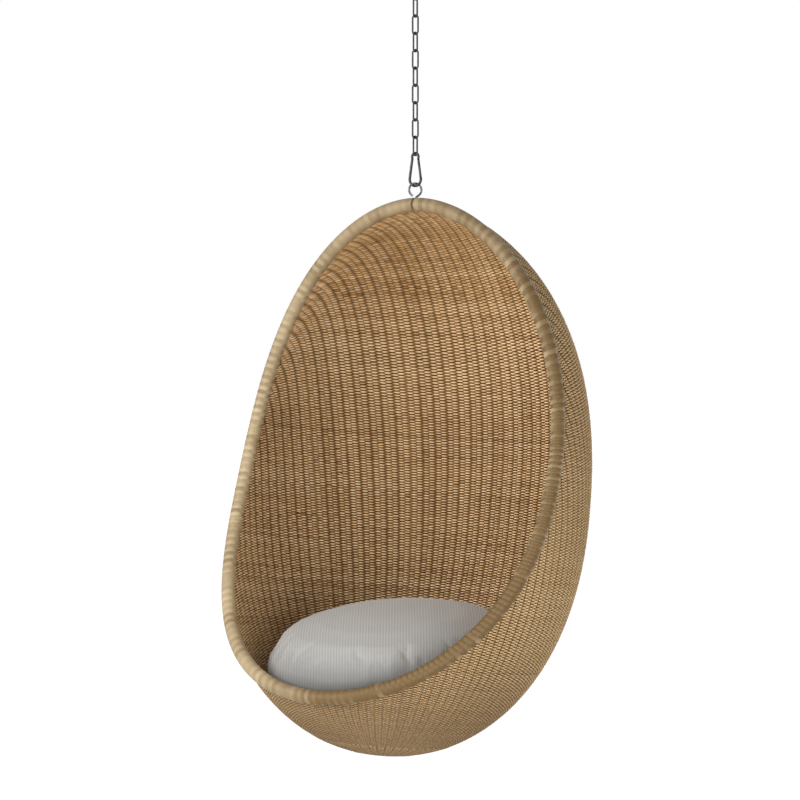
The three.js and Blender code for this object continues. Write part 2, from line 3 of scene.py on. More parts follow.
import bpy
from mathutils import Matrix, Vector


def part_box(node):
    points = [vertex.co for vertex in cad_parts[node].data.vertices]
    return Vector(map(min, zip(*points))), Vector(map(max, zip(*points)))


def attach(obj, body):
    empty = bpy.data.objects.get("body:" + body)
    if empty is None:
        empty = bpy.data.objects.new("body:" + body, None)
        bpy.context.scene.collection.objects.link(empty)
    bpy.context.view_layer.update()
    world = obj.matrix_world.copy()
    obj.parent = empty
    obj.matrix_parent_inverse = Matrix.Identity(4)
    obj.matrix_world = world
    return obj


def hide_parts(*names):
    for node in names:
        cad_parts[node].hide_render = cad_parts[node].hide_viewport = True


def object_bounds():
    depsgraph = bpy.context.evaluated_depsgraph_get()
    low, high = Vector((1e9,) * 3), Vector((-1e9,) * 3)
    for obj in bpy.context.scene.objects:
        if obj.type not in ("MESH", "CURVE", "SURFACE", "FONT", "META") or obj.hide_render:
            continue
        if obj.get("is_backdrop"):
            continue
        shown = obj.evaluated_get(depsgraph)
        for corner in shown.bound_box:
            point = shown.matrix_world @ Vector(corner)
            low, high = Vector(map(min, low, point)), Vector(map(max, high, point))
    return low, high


bl_info = {
    "name": "Hanging Pod Chair",
    "version": (1, 0, 0),
    "blender": (4, 5, 0),
    "location": "View3D > Sidebar > Pod Chair",
    "description": "Weaves, winds and upholsters a hanging pod chair over its frame",
    "category": "Object",
}

import math
from contextlib import contextmanager

import bmesh
import bpy
import numpy as np
from bpy.props import FloatProperty, FloatVectorProperty, PointerProperty
from mathutils import Matrix, Vector
from mathutils.kdtree import KDTree

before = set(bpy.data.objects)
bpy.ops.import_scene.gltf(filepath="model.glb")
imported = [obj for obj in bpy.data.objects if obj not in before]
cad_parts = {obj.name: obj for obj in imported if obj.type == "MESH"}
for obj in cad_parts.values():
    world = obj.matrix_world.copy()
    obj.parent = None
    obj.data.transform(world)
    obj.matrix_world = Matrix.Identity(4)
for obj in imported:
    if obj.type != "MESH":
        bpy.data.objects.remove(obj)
CAD_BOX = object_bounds()

# The egg, in a frame that stands on its lower pole
SHELL_RADIUS = 0.415
SHELL_HEIGHT = 1.221
BELLY_HEIGHT = 0.578
LOWER_POWERS = (2.2, 2.12)
UPPER_POWERS = (2.29, 1.85)
LEAN = np.array(Matrix.Rotation(math.radians(-7.6), 3, "X"))
POLE_PLACE = np.array((0, -0.129703, -1.745772))
SHELL_HALVINGS = 36

# Side view of the opening: how far the rim lies behind the egg's axis, from bottom to top
RIM_SETBACKS = np.array((-0.943, 0.072, 0.010, -0.077)) * SHELL_RADIUS
RIM_RADIUS = 0.0155
RIM_SAMPLES = 300
RIM_HALVINGS = 40
RIM_TOP_HEIGHT = -0.5337
FINDER_STEP = 0.002

# How the stakes at the back fan out over the top of the rim: up to this azimuth, and from this
# share of their length
BEND_END = math.radians(105)
BEND_STEP = BEND_END / 64
BEND_START = 0.42
BEND_POWER = 2
STAKE_SAMPLES = 72
CANE_COUNT = 12

PANELS = [f"woven_panel_{i:02d}" for i in range(1, CANE_COUNT + 1)]
CANES = [f"shell_cane_{i:02d}" for i in range(1, CANE_COUNT + 1)]
BINDINGS = [f"rim_binding_{i}" for i in range(1, 7)]

# Weaver rows: each cell of the weave holds a pair of stakes, and the cells double away from the pole
CELL_ZONES = ((24, 0.034, 0.074), (48, 0.074, 0.152), (96, 0.152, 2.0))
CELL_SPOTS = np.array((-0.31, -0.075, 0.075, 0.31))
CELL_SIDES = np.array((1.0, 1.0, -1.0, -1.0))
# Lengths along a stake between which the rows grow looser, in the roof
ROOF_RUNS = (0.95, 1.15)
# Most points in one band of rows, so that no piece grows too large
BAND_POINTS = 23500

# Heights between which the low part of the shell is painted darker outside, as shade, and paler inside
LOW_PART = (-1.74, -1.34)
# Distances out of the wall's middle: where the weavers get a painted highlight, where the inside gets
# painted shade, and the middle and reach of the ring of painted shade on each weaver outside
WORN_HEIGHTS = (0.0040, 0.0054)
INNER_DEEP = (0.0008, 0.0044)
OUTER_MIDDLE = 0.0019
OUTER_DEEP = (0.0006, 0.0027)

# Corners nearer than this are one
MERGE = 1e-6
WHITE = (1.0, 1.0, 1.0)


def paint(red, green, blue):
    """A colour as a screen shows it, 0 to 255, in the linear values that the shaders take."""
    share = np.array((red, green, blue)) / 255
    linear = np.where(share <= 0.04045, share / 12.92, ((share + 0.055) / 1.055) ** 2.4)
    return tuple(float(value) for value in linear)


def darkened(shade, share):
    """A share of a colour."""
    return tuple(share * part for part in shade)


def length(name, description, default):
    """A size that the sidebar shows as a distance."""
    return FloatProperty(
        name=name, description=description, default=default,
        min=0, subtype="DISTANCE", unit="LENGTH", precision=5)


def colour(name, description, default):
    """A colour that the sidebar shows as a swatch."""
    return FloatVectorProperty(
        name=name, description=description, default=default, size=3, min=0, max=1, subtype="COLOR")


class WeaveSizes(bpy.types.PropertyGroup):
    """Sizes and colours of the woven shell"""
    row_pitch: length("Row Pitch", "Distance between two weaver rows along a stake", 0.00315)
    top_pitch: length("Top Pitch", "The same distance in the roof, where the rows are looser", 0.0039)
    weaver: length("Weaver", "Thickness of a weaver", 0.0040)
    stake: length("Stake", "Thickness of a stake", 0.0036)
    rib: length("Rib", "Thickness of a rib", 0.0054)
    swing: length("Swing", "How far a weaver swings to each side of the wall", 0.0033)
    light: colour("Light Cane", "Pale weavers", paint(240, 210, 166))
    mellow: colour("Mellow Cane", "Most weavers", paint(212, 172, 118))
    dark: colour("Dark Cane", "Brown weavers", paint(146, 102, 58))
    outer: colour("Outer Cane", "Tint of the outside of the shell", paint(214, 184, 138))
    # This colour is painted shade deep in the wall between the weavers, and on the dark sheet behind them
    groove: colour("Groove", "Cane deep inside the wall", paint(62, 36, 15))
    # This colour is a painted highlight on the crests of the weavers inside, and it also paints the low
    # part inside paler
    worn: colour("Worn Cane", "Where the weavers stand out most", paint(252, 234, 204))
    # This colour paints the dark sheet in the wall, which stands in for shade between the weavers
    core: colour("Core", "What shows between the weavers", paint(104, 72, 40))


class RimSizes(bpy.types.PropertyGroup):
    """Sizes and colours of the wound rim"""
    station: length("Station", "Distance between two rings of the rim", 0.0016)
    groove: length("Groove", "Depth of the groove between two turns of peel", 0.0011)
    light: colour("Light Peel", "Pale turns of peel", paint(182, 163, 129))
    dark: colour("Dark Peel", "Brown turns of peel", paint(100, 77, 42))
    seam: colour("Seam", "Shadow between two turns", paint(88, 64, 34))


class CushionSizes(bpy.types.PropertyGroup):
    """Sizes and colours of the seat cushion"""
    voxel: length("Voxel", "Size of the cloth's faces before it is inflated", 0.0065)
    swell: length("Swell", "How far the cloth may swell", 0.012)
    rib_pitch: length("Rib Pitch", "Distance between two ribs of the cloth", 0.0062)
    light: colour("Light Cloth", "Ribs of the cloth", paint(184, 182, 179))
    dark: colour("Dark Cloth", "Between the ribs", paint(150, 148, 144))


class MetalSizes(bpy.types.PropertyGroup):
    """Sizes and colours of the chain, hooks and eye"""
    link_wire: length("Link Wire", "Wire of a chain link", 0.004)
    snap_wire: length("Snap Wire", "Wire of the snap hook", 0.006)
    eye_wire: length("Eye Wire", "Wire of the hanging eye", 0.005)
    hook_wire: length("Hook Wire", "Wire of the ceiling hook", 0.007)
    dark: colour("Dark Steel", "Chain and hooks", paint(72, 69, 67))
    bright: colour("Bright Steel", "Eye, nut and washer", paint(118, 117, 118))


class StageSizes(bpy.types.PropertyGroup):
    """Sizes and light of the stage"""
    floor_drop: length("Floor Drop", "How far the floor lies below the chair", 0.42)
    pale: colour("Floor Colour", "Floor and backdrop", (0.74, 0.74, 0.74))
    key_power: FloatProperty(
        name="Key Light", description="Power of the large front lamp", default=118, unit="POWER")
    fill_power: FloatProperty(
        name="Fill Light", description="Power of the lamp low in front", default=50, unit="POWER")
    sky_light: FloatProperty(
        name="Sky Light", description="Strength of the even light all round", default=0.46)


SIZES = {
    "pod_weave": WeaveSizes,
    "pod_rim": RimSizes,
    "pod_cushion": CushionSizes,
    "pod_metal": MetalSizes,
    "pod_stage": StageSizes,
}


class Wire:
    """An output socket, so that shader maths can be written as an expression."""

    def __init__(self, recipe, socket):
        self.recipe = recipe
        self.socket = socket

    def maths(self, operation, *values):
        """A Math node on values and wires."""
        return self.recipe.node("ShaderNodeMath", {"operation": operation}, dict(enumerate(values)))

    def __add__(self, other):
        return self.maths("ADD", self, other)

    def __sub__(self, other):
        return self.maths("SUBTRACT", self, other)

    def __rsub__(self, other):
        return self.maths("SUBTRACT", other, self)

    def __mul__(self, other):
        return self.maths("MULTIPLY", self, other)

    def __pow__(self, other):
        return self.maths("POWER", self, other)

    def __abs__(self):
        return self.maths("ABSOLUTE", self)

    __radd__ = __add__
    __rmul__ = __mul__


class Recipe:
    """The nodes of one material."""

    def __init__(self, name, tree=None):
        if tree is None:
            self.material = bpy.data.materials.new(name)
            self.material.use_nodes = True
            tree = self.material.node_tree
        self.tree = tree
        self.tree.nodes.clear()

    def node(self, kind, settings=None, sockets=None, output=0):
        """Adds a node, applies its settings and then fills its sockets with values or wires."""
        made = self.tree.nodes.new(kind)
        for name, value in (settings or {}).items():
            if name == "stops":
                ramp = made.color_ramp
                while len(ramp.elements) < len(value):
                    ramp.elements.new(1)
                for stop, (place, shade) in zip(ramp.elements, value):
                    stop.position = place
                    stop.color = (*shade, 1)
            else:
                setattr(made, name, value)
        for key, value in (sockets or {}).items():
            if isinstance(value, Wire):
                self.tree.links.new(value.socket, made.inputs[key])
            elif made.inputs[key].type == "RGBA":
                made.inputs[key].default_value = (*value, 1)
            else:
                made.inputs[key].default_value = value
        return Wire(self, made.outputs[output]) if made.outputs else None

    def mix(self, factor, first, second):
        """Colours mixed by a factor."""
        sockets = {0: factor, 6: first, 7: second}
        return self.node("ShaderNodeMix", {"data_type": "RGBA"}, sockets, 2)

    def noise(self, scale, detail, roughness=0.5):
        """Even noise over Object coordinates."""
        sockets = {"Vector": self.place(), "Scale": scale, "Detail": detail, "Roughness": roughness}
        return self.node("ShaderNodeTexNoise", None, sockets)

    def place(self):
        """Object coordinates."""
        return self.node("ShaderNodeTexCoord", None, None, "Object")

    def value(self, name):
        """A number that the mesh carries."""
        return self.node("ShaderNodeAttribute", {"attribute_name": name}, None, "Fac")

    def step(self, wire, low, high):
        """Smooth rise from 0 to 1 as a value goes from low to high."""
        settings = {"interpolation_type": "SMOOTHSTEP"}
        sockets = {"Value": wire, "From Min": low, "From Max": high}
        return self.node("ShaderNodeMapRange", settings, sockets)

    def bump(self, height, strength, distance):
        """A normal roughened by a height."""
        sockets = {"Height": height, "Strength": strength, "Distance": distance}
        return self.node("ShaderNodeBump", None, sockets)

    def axes(self, names, place=None):
        """Parts of a place along the named axes, by default of Object coordinates."""
        sockets = {0: place or self.place()}
        return [self.node("ShaderNodeSeparateXYZ", None, sockets, name) for name in names]

    def finish(self, colour, roughness, normal, specular=0.5, others=None):
        """The material of a Principled shader with these sockets."""
        sockets = {
            "Base Color": colour, "Roughness": roughness, "Normal": normal,
            "Specular IOR Level": specular, **(others or {})}
        shader = self.node("ShaderNodeBsdfPrincipled", None, sockets)
        self.node("ShaderNodeOutputMaterial", None, {"Surface": shader})
        return self.material


def zone_of(height):
    """Reach, height power and radius power of the egg's half that each height lies in."""
    below = height < BELLY_HEIGHT
    reach = np.where(below, BELLY_HEIGHT, SHELL_HEIGHT - BELLY_HEIGHT)
    powers = [np.where(below, low, high) for low, high in zip(LOWER_POWERS, UPPER_POWERS)]
    return reach, *powers


def radius_at(height):
    """Radius of the egg at each height."""
    reach, height_power, radius_power = zone_of(height)
    room = 1 - np.minimum(1, np.abs(height - BELLY_HEIGHT) / reach) ** height_power
    return SHELL_RADIUS * room ** (1 / radius_power)


def level_and_slope(places):
    """How far outside the egg each place is, as the egg's level, and that level's slope."""
    reach, height_power, radius_power = zone_of(places[..., 2])
    radius = np.hypot(places[..., 0], places[..., 1]) + 1e-9
    rise = np.abs(places[..., 2] - BELLY_HEIGHT) / reach
    level = (radius / SHELL_RADIUS) ** radius_power + rise ** height_power - 1
    out = radius_power / SHELL_RADIUS * (radius / SHELL_RADIUS) ** (radius_power - 1)
    up = height_power / reach * rise ** (height_power - 1) * np.sign(places[..., 2] - BELLY_HEIGHT)
    slope = np.stack((places[..., 0] / radius * out, places[..., 1] / radius * out, up), -1)
    return level, slope


def normals_at(places):
    """Outward normals of the egg."""
    slope = level_and_slope(places)[1]
    return slope / np.linalg.norm(slope, axis=-1, keepdims=True)


def onto_shell(places):
    """Moves each place to the egg along its line from the middle of the belly."""
    centre = np.array((0, 0, BELLY_HEIGHT))
    ray = places - centre
    low = np.zeros(places.shape[:-1])
    high = SHELL_HEIGHT / np.linalg.norm(ray, axis=-1)
    for _ in range(SHELL_HALVINGS):
        middle = (low + high) / 2
        inside = level_and_slope(centre + ray * middle[..., None])[0] < 0
        low = np.where(inside, middle, low)
        high = np.where(inside, high, middle)
    return centre + ray * low[..., None]


def in_frame(places):
    """From the egg's own frame to the chair's, where the egg leans back."""
    return places @ LEAN.T + POLE_PLACE


def in_egg(places):
    """From the chair's frame to the egg's own."""
    return (places - POLE_PLACE) @ LEAN


def setback_at(height):
    """How far behind the egg's axis the rim lies at a height."""
    t = height / SHELL_HEIGHT
    weights = ((1 - t) ** 3, 3 * t * (1 - t) ** 2, 3 * t * t * (1 - t), t ** 3)
    return sum(weight * setback for weight, setback in zip(weights, RIM_SETBACKS))


def rim_end(outside):
    """Height at which the front cut leaves the egg, between the belly and an end of the egg."""
    low, high = BELLY_HEIGHT, outside
    for _ in range(RIM_HALVINGS):
        middle = (low + high) / 2
        if radius_at(np.array(middle)) > abs(setback_at(middle)):
            low = middle
        else:
            high = middle
    return low


def rim_half():
    """Right half of the rim from its top to its bottom, in the egg's frame."""
    low, high = rim_end(0), rim_end(SHELL_HEIGHT)
    swing = np.linspace(0, math.pi, RIM_SAMPLES + 1)
    height = low + (high - low) * (1 + np.cos(swing)) / 2
    back = setback_at(height)
    side = np.sqrt(np.maximum(0, radius_at(height) ** 2 - back ** 2))
    return np.stack((side, back, height), -1)


def run_along(points):
    """Length run at each point of a line."""
    return np.concatenate(([0], np.cumsum(np.linalg.norm(np.diff(points, axis=0), axis=1))))


def at_runs(points, runs):
    """Points of a line at these lengths along it."""
    run = run_along(points)
    return np.stack([np.interp(runs, run, points[:, k]) for k in range(3)], -1)


RIM_HALF = rim_half()
RIM_RUN = run_along(RIM_HALF)
RIM_LOOP = np.concatenate((RIM_HALF, RIM_HALF[-2:0:-1] * (-1, 1, 1), RIM_HALF[:1]))


def run_at_azimuth(azimuth):
    """Rim length at which a stake that climbs straight from the pole meets the rim."""
    azimuths = np.arctan2(RIM_HALF[:, 0], RIM_HALF[:, 1])
    i = int(np.flatnonzero(azimuths < azimuth)[-1])
    j = min(i + 1, RIM_SAMPLES)
    spread = azimuths[j] - azimuths[i]
    share = (azimuth - azimuths[i]) / spread if spread > 0 else 0
    return RIM_RUN[i] + share * (RIM_RUN[j] - RIM_RUN[i])


def rim_run_of_stake(azimuth):
    """Rim length at which the stake of an azimuth ends: straight at the front, fanned at the back."""
    if azimuth >= math.pi - 1e-9:
        return RIM_RUN[-1]
    if azimuth >= BEND_END:
        return run_at_azimuth(azimuth)
    run = run_at_azimuth(BEND_END)
    slope = (run_at_azimuth(BEND_END + BEND_STEP) - run) / BEND_STEP
    u = azimuth / BEND_END
    return ((u ** 3 - 2 * u * u + u) * BEND_END * SHELL_RADIUS
            + (3 * u * u - 2 * u ** 3) * run + (u ** 3 - u * u) * BEND_END * slope)


def stake_lines(azimuths):
    """Middle lines of stakes from the pole to the rim, by their azimuths from the back."""
    target = at_runs(RIM_HALF, [rim_run_of_stake(abs(azimuth)) for azimuth in azimuths])
    target[:, 0] *= np.sign(azimuths)
    last = np.arccos(1 - 2 * target[:, 2:] / SHELL_HEIGHT)
    share = np.linspace(0, 1, STAKE_SAMPLES + 1)
    height = SHELL_HEIGHT * (1 - np.cos(share * last)) / 2
    radius = radius_at(height)
    across = azimuths[:, None]
    climb = np.stack((radius * np.sin(across), radius * np.cos(across), height), -1)
    bend = (np.maximum(0, share - BEND_START) / (1 - BEND_START)) ** BEND_POWER
    bend = bend[None, :, None]
    return onto_shell(climb * (1 - bend) + target[:, None] * bend)


def rim_finder():
    """Finds the nearest place of the rim's middle line."""
    dense = at_runs(RIM_LOOP, np.arange(0, run_along(RIM_LOOP)[-1], FINDER_STEP))
    finder = KDTree(len(dense))
    for i, point in enumerate(dense):
        finder.insert(point, i)
    finder.balance()
    return finder


@contextmanager
def shaped(mesh):
    """A mesh as a bmesh, which is written back in the end."""
    shape = bmesh.new()
    shape.from_mesh(mesh)
    yield shape
    shape.to_mesh(mesh)
    shape.free()


def add_mesh(name, mesh, material):
    """A piece at the origin, in the scene."""
    mesh.name = name
    made = bpy.data.objects.new(name, mesh)
    bpy.context.scene.collection.objects.link(made)
    mesh.materials.clear()
    mesh.materials.append(material)
    return made


def seat(made, body, slot, *nodes):
    """The piece moves with a body and stands for these solids, which it hides; its slot is not used."""
    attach(made, body)
    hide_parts(*nodes)


def tube_mesh(name, lines, thickness, roundness, caps=False, girths=None):
    """A mesh of round tubes along lines of (points, closed). Each point gets one ring of corners."""
    curve = bpy.data.curves.new(name, "CURVE")
    curve.dimensions = "3D"
    curve.bevel_depth = thickness / 2
    curve.bevel_resolution = roundness
    curve.use_fill_caps = caps
    for (points, closed), girth in zip(lines, girths or [1] * len(lines)):
        spline = curve.splines.new("POLY")
        spline.points.add(len(points) - 1)
        spline.points.foreach_set("co", np.c_[points, np.ones(len(points))].ravel())
        spline.points.foreach_set("radius", np.full(len(points), girth))
        spline.use_cyclic_u = closed
    holder = bpy.data.objects.new(name, curve)
    mesh = bpy.data.meshes.new_from_object(holder)
    bpy.data.objects.remove(holder)
    bpy.data.curves.remove(curve)
    mesh.shade_smooth()
    return mesh


def corners_of(mesh):
    """Corner places of a mesh as an array."""
    places = np.empty(len(mesh.vertices) * 3)
    mesh.vertices.foreach_get("co", places)
    return places.reshape(-1, 3)


def carry(mesh, name, values):
    """Gives each corner of the mesh a number."""
    mesh.attributes.new(name, "FLOAT", "POINT").data.foreach_set("value", values)


def carry_lift(mesh, sides):
    """Carries each corner's distance from the wall's middle, and which way its side of the tube faces."""
    level, slope = level_and_slope(in_egg(corners_of(mesh)))
    lift = (level / np.linalg.norm(slope, axis=-1)).reshape(-1, sides)
    facing = lift - lift.mean(1, keepdims=True)
    carry(mesh, "lift", lift.ravel())
    carry(mesh, "facing", (facing / np.abs(facing).max()).ravel())


def tube_chart(mesh, lines, sides, fold):
    """Lays every tube out as strips of the UV map, folded after a number of rings."""
    count = len(mesh.loops)
    corner = np.empty(count, dtype=np.int64)
    mesh.loops.foreach_get("vertex_index", corner)
    face = corner.reshape(-1, 4)
    sizes = np.array([len(points) for points, _ in lines])
    starts = np.concatenate(([0], np.cumsum(sizes)))
    ring, side = face // sides, face % sides
    line = np.searchsorted(starts, ring[:, 0], "right") - 1
    ring = ring - starts[line][:, None]
    size = sizes[line][:, None]
    wraps = (ring.max(1) - ring.min(1) > 1)[:, None]
    ring = np.where(wraps & (ring == 0), size, ring)
    turns = (side.max(1) - side.min(1) > 1)[:, None]
    side = np.where(turns & (side == 0), sides, side)
    chunk = ring.min(1) // fold
    rows_before = np.concatenate(([0], np.cumsum(sizes // fold + 1)))
    row = rows_before[line] + chunk
    across = (ring - (chunk * fold)[:, None]) / (fold + 1)
    up = (row[:, None] * (sides + 1) + side + 0.5) / (rows_before[-1] * (sides + 1))
    chart = mesh.uv_layers.new(name="OFBake")
    chart.data.foreach_set("uv", np.stack((across, up), -1).ravel())


def weave_finish(sizes, name, darker=0.0):
    """Cane by the tone of each strand, browner inside, greyer outside, with painted shade deep in the
    wall and low outside, and painted highlights on the crests inside.
    """
    recipe = Recipe(name)
    tone = recipe.value("tone") - darker
    outside = recipe.step(recipe.value("facing"), -0.2, 0.2)
    height = recipe.value("lift") * (outside * 2 - 1)
    fibre = recipe.noise(420, 3)
    worn = recipe.noise(9, 3)
    shade = tone + (fibre - 0.5) * 0.22 + (worn - 0.5) * 0.35
    stops = [(0.0, sizes.dark), (0.5, sizes.mellow), (1.0, sizes.light)]
    cane = recipe.node("ShaderNodeValToRGB", {"stops": stops}, {0: shade})
    cane = recipe.mix(outside * 0.6, cane, sizes.outer)
    # Painted highlight where the weavers stand out most inside
    worn_top = recipe.step(height, *WORN_HEIGHTS) * (1 - outside)
    cane = recipe.mix(worn_top * 0.5, cane, sizes.worn)
    # Painted shade deep in the wall: inside below a height, outside in a ring about the wall's middle
    inner_depth = 1 - recipe.step(height, *INNER_DEEP)
    outer_depth = 0.6 - recipe.step(abs(height - OUTER_MIDDLE), *OUTER_DEEP) * 0.6
    depth = inner_depth + (outer_depth - inner_depth) * outside
    cane = recipe.mix(depth * 0.92, cane, sizes.groove)
    # Painted shade on the low part outside, and a paler low part inside
    low = 1 - recipe.step(recipe.axes("Z")[0], *LOW_PART)
    cane = recipe.mix(low * outside * 0.4, cane, sizes.groove)
    cane = recipe.mix(low * (1 - outside) * 0.2, cane, sizes.worn)
    return recipe.finish(cane, 0.6 + fibre * 0.2, recipe.bump(fibre, 0.25, 0.0004), 0.2)


def cane_piece(name, lines, tones, thickness, roundness, fold, finish, slot, nodes, girths=None):
    """Canes along lines, with a tone at each of their points, as one piece of the chair."""
    mesh = tube_mesh(name, lines, thickness, roundness, girths=girths)
    sides = len(mesh.vertices) // len(tones)
    carry(mesh, "tone", np.repeat(tones, sides))
    carry_lift(mesh, sides)
    tube_chart(mesh, lines, sides, fold)
    seat(add_mesh(name, mesh, finish), "chair", slot, *nodes)


class POD_OT_weave(bpy.types.Operator):
    """Weaves the shell from single strands, row by row"""
    bl_idname = "podchair.weave"
    bl_label = "Weave the Shell"

    # How unevenly the rows lie, and how often and how far one of them slips
    ROW_SPREAD, SLIP_SHARE, SLIP_SPREAD = 0.00014, 0.012, 0.0009
    # Cell width at which a weaver swings fully, its least share near the pole, and its spread
    FULL_WIDTH, LEAST_SWING, SWING_SPREAD = 0.024, 0.6, 0.06
    # The middle tone, and its spread between columns, strands and cells
    MIDDLE_TONE, COLUMN_SPREAD, STRAND_SPREAD, CELL_SPREAD = 0.5, 0.035, 0.13, 0.05
    # Strand ends in a row, and its brown stretch: how often, how many points long and how dark
    STRAND_ENDS, BROWN_SHARE, BROWN_POINTS, BROWN_DEPTH = 3, 0.3, (6, 26), 0.3
    # Most points of a part of a row that is left out
    SHORT_RUN = 3
    # The dark sheet of painted shade in the wall: points that it leaves out at the pole, and its
    # thickness
    CORE_START, CORE_WALL = 2, 0.0006

    def execute(self, context):
        sizes = context.scene.pod_weave
        finish = weave_finish(sizes, "woven_cane")
        bands = [[]]
        for row in self.rows(sizes):
            if sum(len(points) for points, *_ in bands[-1]) + len(row[0]) > BAND_POINTS:
                bands.append([])
            bands[-1].append(row)
        for i, band in enumerate(bands, 1):
            lines = [(points, closed) for points, closed, *_ in band]
            tones = np.concatenate([tones for *_, tones, _ in band])
            girths = [girth for *_, girth in band]
            name = f"weave_band_{i}"
            cane_piece(name, lines, tones, sizes.weaver, 0, 192, finish, "weave", PANELS, girths)
        self.core(sizes)
        return {"FINISHED"}

    def rows(self, sizes):
        """Weaver rows as (points, closed, tones, girth), from the pole to the rim."""
        chance = np.random.default_rng(11)
        finder = rim_finder()
        spots_per_cell = len(CELL_SPOTS)
        rows = []
        number = 0
        for cells, first, last in CELL_ZONES:
            spots = (np.arange(cells)[:, None] + 0.5 + CELL_SPOTS).ravel() / cells
            azimuths = (2 * spots - 1) * math.pi
            lines = stake_lines(azimuths)
            reaches = np.array([run_along(line)[-1] for line in lines])
            levels = self.levels(sizes, first, min(last, reaches.max()))
            shift = np.repeat(chance.normal(0, self.ROW_SPREAD, (len(levels), cells)), spots_per_cell, 1)
            slips = chance.random(shift.shape) < self.SLIP_SHARE
            shift = shift + slips * chance.normal(0, self.SLIP_SPREAD, shift.shape)
            grid = np.stack([
                at_runs(line, levels + shift[:, k]) for k, line in enumerate(lines)], 1)
            inside = levels[:, None] < reaches[None]
            clear = np.zeros_like(inside)
            for i, k in zip(*np.nonzero(inside)):
                clear[i, k] = finder.find(grid[i, k])[2] > RIM_RADIUS / 2
            width = 2 * math.pi * np.hypot(grid[..., 0], grid[..., 1]) / cells
            swing = sizes.swing * np.clip(width / self.FULL_WIDTH, self.LEAST_SWING, 1)
            swing = swing * chance.normal(1, self.SWING_SPREAD, clear.shape)
            sides = np.tile(CELL_SIDES, cells)
            parity = (-1.0) ** (number + np.arange(len(levels)))
            grid = grid + normals_at(grid) * (swing * sides * parity[:, None])[..., None]
            columns = np.repeat(chance.normal(0, self.COLUMN_SPREAD, cells), spots_per_cell)
            girths = np.interp(levels, ROOF_RUNS, (1, sizes.top_pitch / sizes.row_pitch))
            for i in range(len(levels)):
                tones = columns + self.tones(chance, len(azimuths))
                rows += [(*run, girths[i]) for run in self.runs(in_frame(grid[i]), clear[i], tones)]
            number += len(levels)
        return rows

    def levels(self, sizes, first, last):
        """Lengths along the stakes at which the rows lie, further apart in the roof."""
        levels = [first]
        while levels[-1] < last:
            pitch = np.interp(levels[-1], ROOF_RUNS, (sizes.row_pitch, sizes.top_pitch))
            levels.append(levels[-1] + pitch)
        return np.array(levels[:-1])

    def tones(self, chance, count):
        """Tone along one row, which changes where one strand ends and the next begins."""
        cuts = np.sort(chance.integers(0, count, self.STRAND_ENDS))
        strand = np.searchsorted(cuts, np.arange(count))
        tones = chance.normal(self.MIDDLE_TONE, self.STRAND_SPREAD, self.STRAND_ENDS + 1)[strand]
        if chance.random() < self.BROWN_SHARE:
            start = chance.integers(0, count)
            tones[start:start + chance.integers(*self.BROWN_POINTS)] -= self.BROWN_DEPTH
        cells = count // len(CELL_SPOTS)
        return tones + np.repeat(chance.normal(0, self.CELL_SPREAD, cells), len(CELL_SPOTS))

    def runs(self, points, clear, tones):
        """The unbroken parts of a row."""
        if clear.all():
            return [(points, True, tones)]
        turn = int(np.argmin(clear))
        points, clear, tones = [np.roll(values, -turn, 0) for values in (points, clear, tones)]
        edges = np.flatnonzero(np.diff(np.concatenate(([0], clear.astype(int), [0]))))
        pairs = zip(edges[::2], edges[1::2])
        return [(points[a:b], False, tones[a:b]) for a, b in pairs if b - a > self.SHORT_RUN]

    def core(self, sizes):
        """A dark sheet along the wall's middle, painted shade between the weavers, which closes the wall
        to the eye.
        """
        cells = CELL_ZONES[-1][0]
        lines = stake_lines((2 * (np.arange(cells) + 0.5) / cells - 1) * math.pi)[:, self.CORE_START:]
        places = in_frame(np.concatenate((lines, lines[:1]))).transpose(1, 0, 2).reshape(-1, 3)
        mesh = bpy.data.meshes.new("weave_core")
        with shaped(mesh) as shape:
            bmesh.ops.create_grid(shape, x_segments=cells, y_segments=lines.shape[1] - 1, size=1)
            for corner, place in zip(shape.verts, places, strict=True):
                corner.co = place
            bmesh.ops.remove_doubles(shape, verts=shape.verts, dist=MERGE)
            bmesh.ops.recalc_face_normals(shape, faces=shape.faces)
            bmesh.ops.solidify(shape, geom=shape.faces, thickness=self.CORE_WALL)
        mesh.shade_smooth()
        # The sheet's dark colour is painted shade between the weavers
        recipe = Recipe("packed_cane")
        grain = recipe.noise(180, 3)
        cane = recipe.mix(recipe.step(grain, 0.2, 0.8), sizes.groove, sizes.core)
        finish = recipe.finish(cane, 0.7 + grain * 0.2, recipe.bump(grain, 0.3, 0.0005), 0.1)
        seat(add_mesh("weave_core", mesh, finish), "chair", "weave", *PANELS)


